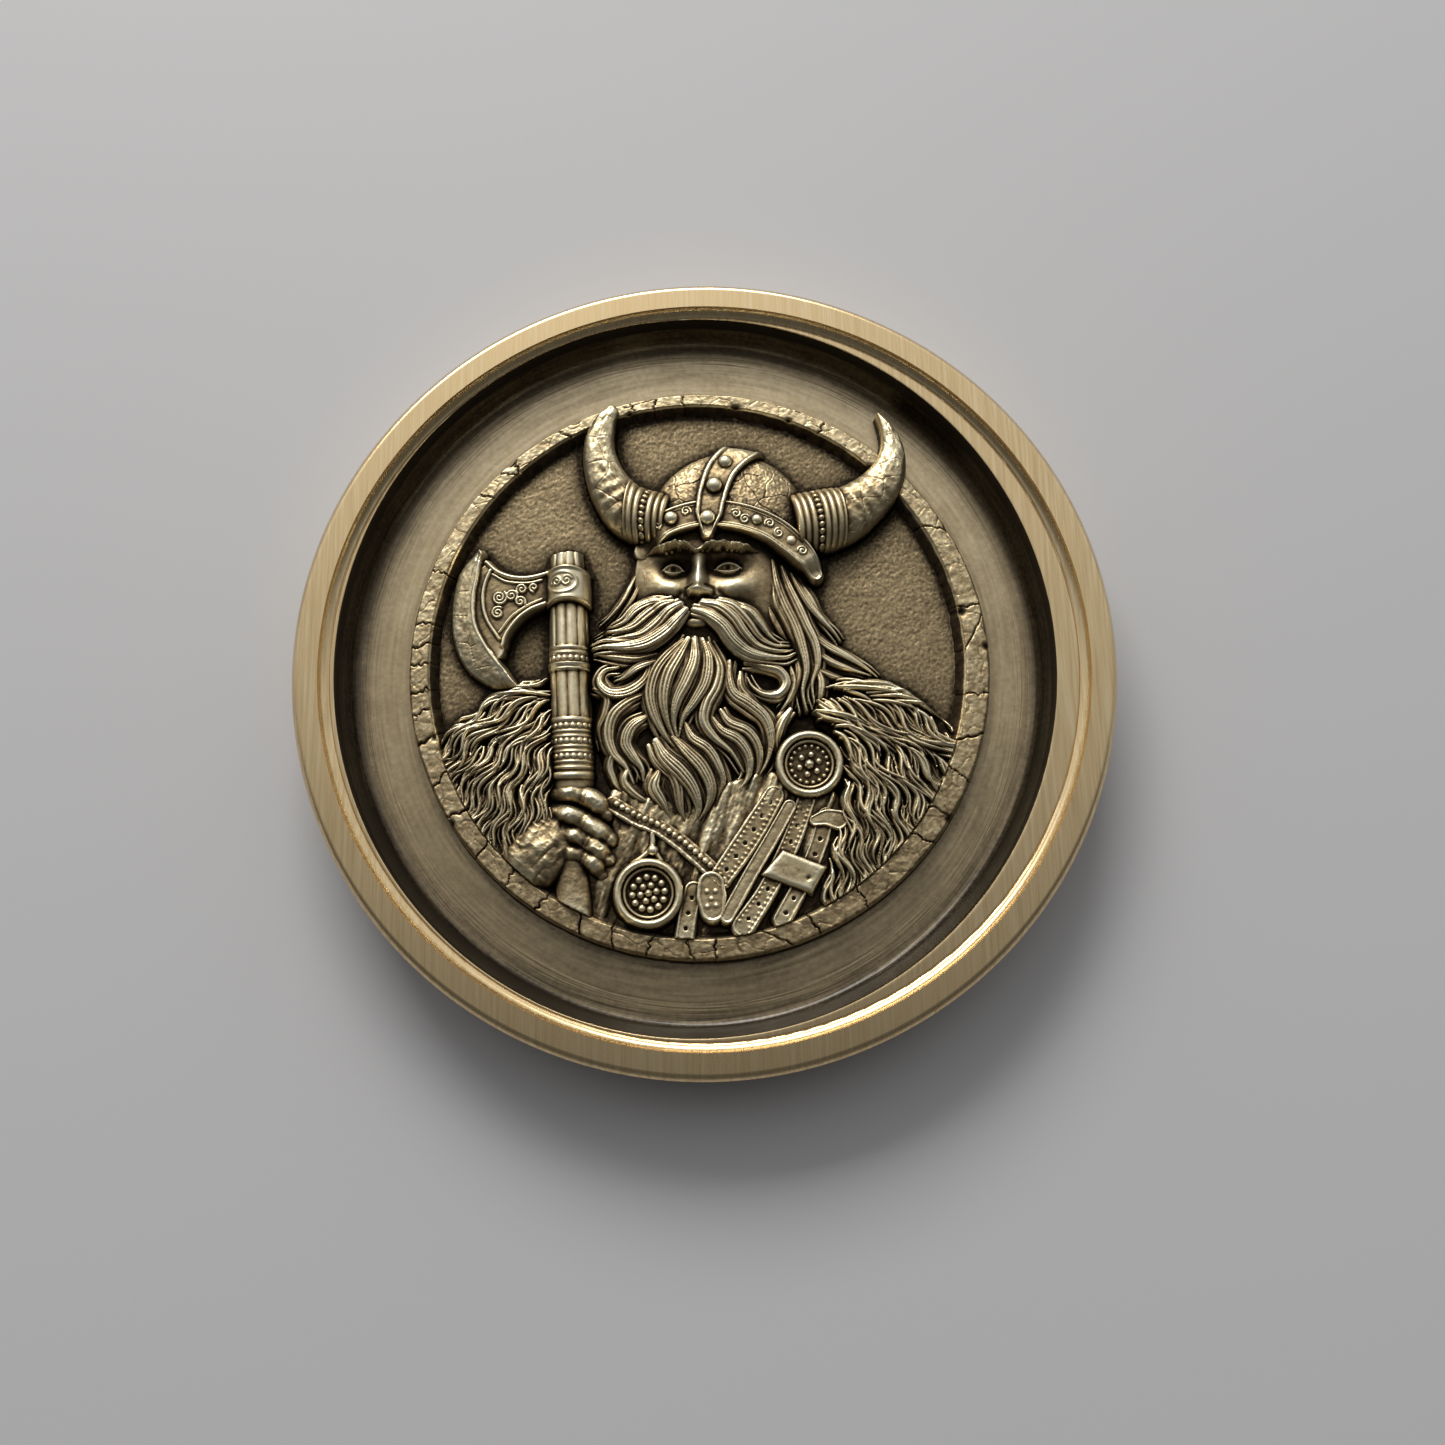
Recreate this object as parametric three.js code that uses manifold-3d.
// A 50 mm brass challenge coin lying face up: a turned rim round a deep dish, a ring of cracked stone
// blocks in the dish, and inside the ring the bust of a bearded warrior with a horned helmet and an axe.
// Millimetres, +Z up out of the face, +Y to the top of the picture, origin at the middle of the back.

import * as THREE from 'three';
import { mergeVertices } from 'three/addons/utils/BufferGeometryUtils.js';
import Module from 'manifold-3d';

const wasm = await Module();
wasm.setup();

// ---- Driving dimensions ----

const COIN_RADIUS = 25;
const COIN_THICKNESS = 5;

// Heights of the stack, from the back up.
const BACK_RECESS = 0.3; // the reverse plate sits this far inside the rim's back face
const PLATE_TOP = 1.2;
const DISH_FLOOR = 1.65;
const FIELD_TOP = 2.0;
const TUNIC_TOP = 2.5;
const STONE_TOP = 2.75;
const HELMET_TOP = 3.7;
const LAND_TOP = 4.4; // the inner land of the rim, below the cove

// Radii and edges of the rim.
const BACK_CHAMFER = 0.4;
const FACE_CHAMFER = 0.3;
const COVE_OUTER = 23.4;
const COVE_INNER = 22.7;
const COVE_STEPS = 4;
const BLANK_BORE = 20;
const PLATE_SEAT = 22.4;

// The recess, the stone ring and the field are slightly oval and off centre: [x, y, radius x, radius y].
const RECESS_EDGE = [-0.56, 0.12, 22.0, 22.8];
const RECESS_DRAFT = 1.1; // how far the wall leans in from the land to the reverse plate
const STONE_OUTER = [-0.32, 0.16, 18.05, 18.23];
const STONE_INNER = [-0.48, 0.43, 16.66, 17.18];

const GAP = 0.1; // clearance between neighbouring pieces
const ROUND_STEPS = 96;
const MARGIN = 1; // how far a cutter runs past what it cuts
const LEAST_BEVEL = 0.01;

// ---- Finishes ----

const FINISH = {
  rim: { color: 0xcaa86c, roughness: 0.28 },
  dish: { color: 0x8b7650, roughness: 0.45 },
  stone: { color: 0xa58f62, roughness: 0.5 },
  field: { color: 0x7c6a48, roughness: 0.6 },
  relief: { color: 0xb0935a, roughness: 0.38 },
};

const coin = new THREE.Group();

// ---- Solids ----

// A closed geometry as a solid that can be cut and joined.
function solidOf(geometry) {
  const bare = geometry.clone();
  bare.deleteAttribute('normal');
  bare.deleteAttribute('uv');
  const merged = mergeVertices(bare);
  return new wasm.Manifold(new wasm.Mesh({
    numProp: 3,
    vertProperties: merged.attributes.position.array,
    triVerts: Uint32Array.from(merged.index.array),
  }));
}

// Adds a solid to the coin as a named mesh with its own material.
function addPiece(name, finish, solid) {
  const mesh = solid.getMesh();
  const geometry = new THREE.BufferGeometry();
  geometry.setAttribute('position', new THREE.BufferAttribute(mesh.vertProperties, 3));
  geometry.setIndex(new THREE.BufferAttribute(mesh.triVerts, 1));
  geometry.computeVertexNormals();
  const material = new THREE.MeshStandardMaterial({ ...FINISH[finish], metalness: 1 });
  const piece = new THREE.Mesh(geometry, material);
  piece.name = name;
  coin.add(piece);
}

// An oval's outline, grown outwards by grow.
function oval([x, y, radiusX, radiusY], grow = 0) {
  const shape = new THREE.Shape();
  shape.absellipse(x, y, radiusX + grow, radiusY + grow, 0, 2 * Math.PI);
  return shape;
}

// A shape extruded between two heights, with chamfered edges or its outline moved outwards by offset.
function slab(shape, bottom, top, options = {}) {
  const { chamfer = 0, offset = 0, curveSegments = ROUND_STEPS / 4 } = options;
  const bevelEnabled = chamfer > 0 || offset > 0;
  const rise = bevelEnabled ? Math.max(chamfer, LEAST_BEVEL) : 0;
  const geometry = new THREE.ExtrudeGeometry(shape, {
    depth: top - bottom - 2 * rise,
    curveSegments,
    bevelEnabled,
    bevelThickness: rise,
    bevelSize: chamfer,
    bevelOffset: offset - chamfer,
    bevelSegments: 1,
  });
  geometry.translate(0, 0, bottom + rise);
  return solidOf(geometry);
}

// Keeps only what lies above a height.
function above(solid, height) {
  const block = new THREE.BoxGeometry(4 * COIN_RADIUS, 4 * COIN_RADIUS, 4 * COIN_RADIUS);
  block.translate(0, 0, height - 2 * COIN_RADIUS);
  return solid.subtract(solidOf(block));
}

// ---- Rim, plates and stone ring ----

function rim() {
  const profile = [
    [PLATE_SEAT, 0],
    [COIN_RADIUS - BACK_CHAMFER, 0],
    [COIN_RADIUS, BACK_CHAMFER],
    [COIN_RADIUS, COIN_THICKNESS - FACE_CHAMFER],
    [COIN_RADIUS - FACE_CHAMFER, COIN_THICKNESS],
  ];
  for (let step = 0; step <= COVE_STEPS; step += 1) {
    const angle = (step / COVE_STEPS) * Math.PI / 2;
    profile.push([
      COVE_INNER + (COVE_OUTER - COVE_INNER) * Math.cos(angle),
      COIN_THICKNESS - (COIN_THICKNESS - LAND_TOP) * Math.sin(angle),
    ]);
  }
  profile.push([BLANK_BORE, LAND_TOP], [BLANK_BORE, PLATE_TOP], [PLATE_SEAT, PLATE_TOP], [PLATE_SEAT, 0]);
  const corners = profile.map(([radius, height]) => new THREE.Vector2(radius, height));
  const geometry = new THREE.LatheGeometry(corners, ROUND_STEPS);
  geometry.rotateX(Math.PI / 2);
  return solidOf(geometry).subtract(recessCutter());
}

// The drafted oval hole inside the rim, run past the rim at both ends.
function recessCutter() {
  const [x, y, radiusX, radiusY] = RECESS_EDGE;
  const slope = RECESS_DRAFT / (LAND_TOP - PLATE_TOP);
  const top = COIN_THICKNESS + MARGIN;
  const wide = 1 + slope * (top - LAND_TOP) / radiusX;
  const narrow = 1 - slope * (LAND_TOP - BACK_RECESS) / radiusX;
  const geometry = new THREE.CylinderGeometry(wide, narrow, top - BACK_RECESS, ROUND_STEPS);
  geometry.rotateX(Math.PI / 2);
  geometry.scale(radiusX, radiusY, 1);
  geometry.translate(x, y, (top + BACK_RECESS) / 2);
  return solidOf(geometry);
}

addPiece('rim_bezel', 'rim', rim());
const plateOutline = oval([0, 0, PLATE_SEAT, PLATE_SEAT], -GAP);
const dishOutline = oval(RECESS_EDGE, -RECESS_DRAFT - GAP);
addPiece('reverse_plate', 'dish', slab(plateOutline, BACK_RECESS, PLATE_TOP));
addPiece('recess_dish', 'dish', slab(dishOutline, PLATE_TOP, DISH_FLOOR));
addPiece('field_plate', 'field', slab(oval(STONE_INNER, -GAP), DISH_FLOOR, FIELD_TOP));

// ---- Relief ----

// Each piece of the bust is a chamfered slab cut out along its own outline. The list runs from the
// frontmost piece to the rearmost, and each piece makes room for the ones listed before it.
// base is the height the piece stands on, top the height of its flat face.
const RELIEF = [
  { name: 'crest_rivet_upper', round: [1.6, 13.6, 0.38], top: 4.3, chamfer: 0.12 },
  { name: 'crest_rivet_middle', round: [0.8, 11.5, 0.42], top: 4.3, chamfer: 0.12 },
  { name: 'crest_rivet_lower', round: [0.4, 9.3, 0.42], top: 4.3, chamfer: 0.12 },
  { name: 'brow_rivet_left', round: [-1.9, 9.45, 0.38], top: 4.15, chamfer: 0.12 },
  { name: 'brow_rivet_middle', round: [3.6, 9.3, 0.32], top: 4.15, chamfer: 0.12 },
  { name: 'brow_rivet_right', round: [5.6, 8.15, 0.32], top: 4.15, chamfer: 0.12 },
  {
    name: 'helmet_crest_strap', base: HELMET_TOP, top: 4.1, chamfer: 0.15,
    points: [
      [0.35, 8.15], [1.05, 8.6], [1.35, 9.8], [1.65, 11.2], [2.1, 12.5], [2.75, 13.4], [3.25, 13.9],
      [2.55, 14.2], [1.55, 14.1], [0.75, 13.4], [0.05, 12.3], [-0.35, 11.0], [-0.55, 9.6], [-0.3, 8.6],
    ],
  },
  {
    name: 'helmet_brow_band', top: HELMET_TOP, chamfer: 0.15,
    points: [
      [-3.75, 7.5], [-2.95, 8.2], [-1.75, 8.7], [-0.35, 8.85], [1.45, 8.85], [2.85, 8.65], [4.25, 8.1],
      [5, 7.3], [6.1, 6.3], [7, 5.1], [7.35, 5.7], [7.3, 6.6], [6.6, 7.6], [5.6, 8.6], [4.85, 9.5],
      [3.45, 10.1], [1.85, 10.45], [-0.35, 10.45], [-1.75, 10.2], [-2.75, 9.6], [-3.55, 8.6],
    ],
  },
  {
    name: 'horn_left', top: 3.9, chamfer: 0.15,
    points: [
      [-3.7, 8.0], [-3.4, 9.2], [-2.7, 10.6], [-1.9, 11.7], [-2.7, 12.0], [-4.1, 12.2], [-4.9, 13.2],
      [-5.5, 14.5], [-5.7, 15.8], [-5.5, 17.1], [-6.4, 16.3], [-7.1, 15.0], [-7.4, 13.5],
      [-7, 11.9], [-6.3, 10.2], [-5.3, 8.8],
    ],
  },
  {
    name: 'horn_right', top: 3.9, chamfer: 0.15,
    points: [
      [7.6, 7.2], [8.5, 7.3], [9.6, 7.9], [10.8, 9.1], [11.9, 10.1], [12.7, 11.6], [13.1, 13.2],
      [12.8, 14.8], [11.6, 16.6], [11.8, 15.1], [11.5, 13.9], [10.7, 12.8], [9.6, 12.1], [7.9, 11.8],
      [6.2, 11.5], [6, 10.6], [6.5, 9.2],
    ],
  },
  {
    name: 'helmet_bowl', top: HELMET_TOP, chamfer: 0.3,
    points: [
      [-3.6, 9.0], [-2.9, 10.4], [-2.1, 11.7], [-1.1, 12.9], [0.1, 13.7], [1.5, 14.15], [2.9, 14.15],
      [4.1, 13.6], [5.3, 12.3], [6.1, 10.9], [6.9, 9.0], [7.2, 7.6], [4.3, 9.2], [0.3, 9.8],
    ],
  },
  {
    name: 'fist', top: 4.0, chamfer: 0.5,
    points: [
      [-9.4, -7.5], [-8.2, -7.2], [-7.0, -7.7], [-5.8, -8.6], [-5.3, -10.0], [-5.2, -11.6],
      [-5.6, -12.9], [-7.2, -13.2], [-8.0, -13.8], [-9.2, -13.9], [-10.4, -13.5], [-11.4, -12.3],
      [-11.0, -11.0], [-10.2, -9.9], [-9.6, -8.8],
    ],
  },
  {
    name: 'axe_haft', top: 3.5, chamfer: 0.5,
    points: [
      [-9.6, 7.7], [-8.6, 7.8], [-7.7, 7.6], [-7.4, 5.0], [-7.1, 1.0], [-6.95, -3.0], [-6.9, -7.0],
      [-8.2, -7.3], [-9.6, -7.2], [-9.75, -3.0], [-9.75, 1.0], [-9.8, 5.0],
    ],
  },
  {
    name: 'axe_head', top: 3.9, chamfer: 0.2,
    points: [
      [-7.2, 6.3], [-8.2, 6.7], [-9.2, 6.6], [-10.0, 6.2], [-11.2, 6.0], [-12.6, 6.4], [-13.6, 7.2],
      [-14.2, 7.7], [-15.0, 6.3], [-15.5, 4.5], [-15.5, 2.6], [-15.0, 1.0], [-14.0, -0.3],
      [-12.7, -1.1], [-11.5, -1.3], [-12.3, -0.1], [-12.6, 1.1], [-12.3, 2.2], [-11.4, 3.5],
      [-10.0, 4.3], [-8.6, 4.6], [-7.1, 3.9],
    ],
  },
  { name: 'pendant', round: [-3.7, -14.0, 2.1], base: TUNIC_TOP, top: 3.3, chamfer: 0.2 },
  { name: 'shoulder_brooch', round: [6.2, -6.45, 2.05], top: 3.7, chamfer: 0.2 },
  {
    name: 'moustache_left', top: 3.8, chamfer: 0.2,
    points: [
      [-1.5, 3.9], [-3.0, 4.15], [-4.2, 3.8], [-5.0, 2.9], [-6.0, 2.0], [-6.9, 1.3], [-6.4, 0.9],
      [-4.8, 1.1], [-3.3, 1.4], [-2.3, 2.2], [-1.4, 2.8],
    ],
  },
  {
    name: 'moustache_right', top: 3.8, chamfer: 0.3,
    points: [
      [-0.7, 3.3], [0.2, 3.9], [1.1, 4.0], [2.2, 3.5], [3.3, 3.0], [4.2, 3.4], [4.9, 2.4], [5.6, 1.0],
      [5.5, 0.4], [4.2, 0.2], [2.8, 0.4], [1.8, 1.4], [0.9, 2.2], [-0.2, 2.7],
    ],
  },
  {
    name: 'beard', top: 3.6, chamfer: 0.3,
    points: [
      [-1.0, 2.0], [-2.4, 1.8], [-4.4, 0.9], [-6.6, 0.7], [-6.8, -1.0], [-6.8, -4.0], [-6.7, -7.0],
      [-5.0, -8.4], [-3.4, -9.2], [-2.6, -10.0], [-1.2, -10.2], [-0.2, -9.3], [0.4, -8.2],
      [2.6, -7.8], [3.8, -6.6], [4.3, -4.6], [5.6, -3.2], [5.3, -1.2], [5.4, 0.1], [2.6, 0.2],
      [1.0, 1.7], [0, 2.1],
    ],
  },
  {
    name: 'head', top: 3.5, chamfer: 0.5,
    points: [
      [-3.6, 8.6], [-3.6, 6.6], [-3.4, 4.9], [-2.6, 3.4], [-1.3, 2.5], [-0.6, 2.3], [1.4, 2.6],
      [3.2, 3.1], [4.1, 4.6], [4.3, 6.6], [4.4, 8.6], [0.4, 9.3],
    ],
  },
  {
    name: 'hair_left', top: 3.0, chamfer: 0.15,
    points: [
      [-3.7, 7.0], [-4.2, 6.6], [-4.6, 5.4], [-5.4, 4.2], [-6.7, 2.7], [-6.6, 1.9], [-5.4, 2.4],
      [-4.3, 3.7], [-3.7, 5.2],
    ],
  },
  {
    name: 'hair_right', top: 3.4, chamfer: 0.15,
    points: [
      [4.4, 7.4], [6.2, 6.2], [7.0, 5.0], [7.2, 3.7], [7.9, 2.7], [8.5, 1.6], [9.3, 0.5], [11.2, -1.2],
      [9.6, -0.9], [7.5, -0.7], [7.5, -1.8], [7.0, -3.0], [6.0, -3.0], [5.4, -1.6], [5.7, 0.6],
      [4.6, 2.8], [4.0, 4.0], [4.2, 5.6],
    ],
  },
  {
    name: 'strap_keeper', base: 3.1, top: 3.5, chamfer: 0.1,
    points: [
      [4.3, -11.8], [5.6, -12.1], [6.8, -12.8], [6.4, -13.6], [5.9, -14.2], [4.4, -13.5],
      [3.1, -13.0], [3.7, -12.3],
    ],
  },
  {
    name: 'collar_trim', base: TUNIC_TOP, top: 3.1, chamfer: 0.1,
    points: [
      [-5.4, -8.6], [-3.4, -9.5], [-1.8, -10.5], [-0.2, -11.9], [0.8, -13.1], [0.4, -13.5],
      [-0.6, -12.6], [-2.2, -11.2], [-3.8, -10.3], [-5.5, -9.5],
    ],
  },
  {
    name: 'collar_plaque', base: TUNIC_TOP, top: 3.1, chamfer: 0.1,
    points: [[-0.7, -13.2], [0.3, -13.8], [0.9, -14.4], [0.5, -15.2], [-0.3, -15.2], [-0.9, -14.4]],
  },
  {
    name: 'strap_inner', base: TUNIC_TOP, top: 3.1, chamfer: 0.1,
    points: [
      [3.2, -8.9], [4.0, -9.5], [3.2, -10.7], [2.2, -12.1], [1.2, -13.2], [0.4, -12.4], [1.6, -10.9],
    ],
  },
  {
    name: 'strap_middle', base: TUNIC_TOP, top: 3.1, chamfer: 0.1,
    points: [
      [4.4, -9.6], [4.9, -9.9], [3.2, -12.4], [1.6, -14.7], [1.1, -15.2], [0.9, -14.6], [2.7, -11.9],
    ],
  },
  {
    name: 'strap_outer', base: TUNIC_TOP, top: 3.1, chamfer: 0.1,
    points: [
      [5.2, -9.1], [6.0, -9.5], [5.3, -11.6], [4.2, -13.9], [2.4, -16.2], [1.2, -16.1], [2.6, -14.2],
      [4.0, -11.9], [4.7, -10.4],
    ],
  },
  {
    name: 'strap_rear', base: TUNIC_TOP, top: 3.1, chamfer: 0.1,
    points: [
      [6.2, -10.9], [7.0, -11.2], [6.3, -12.8], [5.3, -14.7], [4.4, -15.8], [3.6, -15.8],
      [4.6, -14.0], [5.6, -12.1],
    ],
  },
  {
    name: 'strap_toggle', base: TUNIC_TOP, top: 3.1, chamfer: 0.1,
    points: [[6.2, -9.8], [7.4, -9.5], [7.5, -10.4], [7.0, -10.8], [6.2, -10.4]],
  },
  {
    name: 'strap_tail', base: TUNIC_TOP, top: 3.1, chamfer: 0.1,
    points: [[-1.3, -14.2], [-0.9, -15.0], [-0.8, -16.2], [-1.6, -16.3], [-1.7, -15.2]],
  },
  {
    name: 'wrist', top: 3.0, chamfer: 0.3,
    points: [[-8.8, -13.6], [-7.2, -13.4], [-6.2, -13.2], [-6.0, -15.3], [-7.6, -15.2], [-9.0, -14.5]],
  },
  {
    name: 'fur_mantle_left', top: 3.3, chamfer: 0.3,
    points: [
      [-10.0, -1.3], [-11.6, -1.4], [-13.4, -1.9], [-15.2, -3.4], [-16.0, -4.5], [-15.9, -6.0],
      [-15.2, -7.6], [-14.0, -9.6], [-12.5, -11.2], [-11.6, -11.3], [-10.6, -10.3], [-9.9, -8.8],
      [-9.9, -5.0],
    ],
  },
  {
    name: 'fur_mantle_right', top: 3.3, chamfer: 0.3,
    points: [
      [7.6, -1.1], [10.6, -1.4], [12.2, -2.2], [14.0, -3.8], [15.1, -4.9], [14.9, -6.4], [13.7, -8.8],
      [12.2, -10.9], [10.4, -12.7], [8.4, -14.0], [6.9, -14.6], [6.9, -13.0], [7.7, -11.0],
      [8.0, -8.6], [7.6, -5.4], [6.0, -4.4], [5.9, -3.4], [7.2, -2.8],
    ],
  },
  {
    name: 'tunic', top: TUNIC_TOP, chamfer: 0,
    points: [
      [-5.6, -8.0], [-5.4, -12.8], [-5.8, -15.6], [-4.0, -16.3], [-1.5, -16.7], [1.5, -16.7],
      [4.4, -16.0], [6.8, -15.0], [7.0, -13.0], [7.7, -11.0], [8.0, -8.8], [6.4, -7.6], [3.6, -7.2],
      [0.6, -8.2], [-2.6, -8.6],
    ],
  },
];

// The piece's outline: a disc, or a smooth closed curve through its points.
function reliefShape({ round, points }) {
  if (round) {
    const [x, y, radius] = round;
    return oval([x, y, radius, radius]);
  }
  const corners = points.map(([x, y]) => new THREE.Vector3(x, y, 0));
  const curve = new THREE.CatmullRomCurve3(corners, true, 'centripetal');
  const outline = curve.getPoints(2 * points.length).slice(0, -1);
  return new THREE.Shape(outline.map((point) => new THREE.Vector2(point.x, point.y)));
}

// The relief stays inside the ring; only the horns lie over it, and stoneRoom is the room it takes.
const insideStone = slab(oval(STONE_INNER, -GAP), FIELD_TOP - MARGIN, COIN_THICKNESS);
const ringBore = slab(oval(STONE_INNER, -GAP), -MARGIN, COIN_THICKNESS);
const stoneRoom = slab(oval(STONE_OUTER, GAP), 0, STONE_TOP + GAP).subtract(ringBore);
const inFront = [];

for (const item of RELIEF) {
  const { name, base = FIELD_TOP, top, chamfer, round } = item;
  const shape = reliefShape(item);
  const curveSegments = round && round[2] < 1 ? 4 : 8;
  let solid = above(slab(shape, base - MARGIN, top, { chamfer, curveSegments }), base);
  solid = name.startsWith('horn') ? solid.subtract(stoneRoom) : solid.intersect(insideStone);
  for (const cutter of inFront) {
    solid = solid.subtract(cutter);
  }
  inFront.push(slab(shape, base, top + GAP, { offset: GAP, curveSegments }));
  addPiece(name, 'relief', solid);
}

// The stone ring stands on the dish, and the horns cross over it.
addPiece('stone_ring', 'stone', slab(oval(STONE_OUTER), DISH_FLOOR, STONE_TOP, { chamfer: 0.15 })
  .subtract(slab(oval(STONE_INNER), 0, COIN_THICKNESS)));

export default coin;
